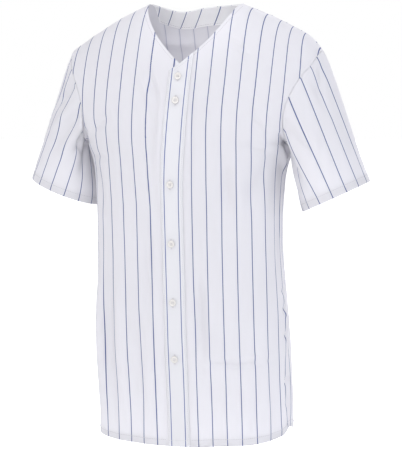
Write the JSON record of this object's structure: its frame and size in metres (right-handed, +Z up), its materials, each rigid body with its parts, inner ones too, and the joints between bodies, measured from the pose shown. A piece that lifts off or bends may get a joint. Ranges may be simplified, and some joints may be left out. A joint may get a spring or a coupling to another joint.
{
  "type": "baseball jersey",
  "caption": "Short-sleeved white baseball jersey with thin blue pinstripes and a full button front, hollow and filled out as when worn.",
  "frame": {"origin": "on the centre plane, midway along the shoulder seams in height, where the wearer's shoulders carry the garment", "axes": "+Z up, -Y out of the buttoned front, +X to the wearer's left"},
  "size_m": [0.615, 0.2247, 0.7531],
  "materials": {
    "jersey_cloth": "smooth matte polyester knit, white with thin blue stripes",
    "button": "pearly off-white"
  },
  "bodies": {
    "root": {"front_right": "jersey_cloth", "front_left": "jersey_cloth", "back": "jersey_cloth", "placket": "jersey_cloth", "back_neck_facing": "jersey_cloth", "sleeve_left": "jersey_cloth", "sleeve_right": "jersey_cloth", "button_1": "button", "button_2": "button", "button_3": "button", "button_4": "button", "button_5": "button", "button_6": "button"}
  },
  "joints": []
}
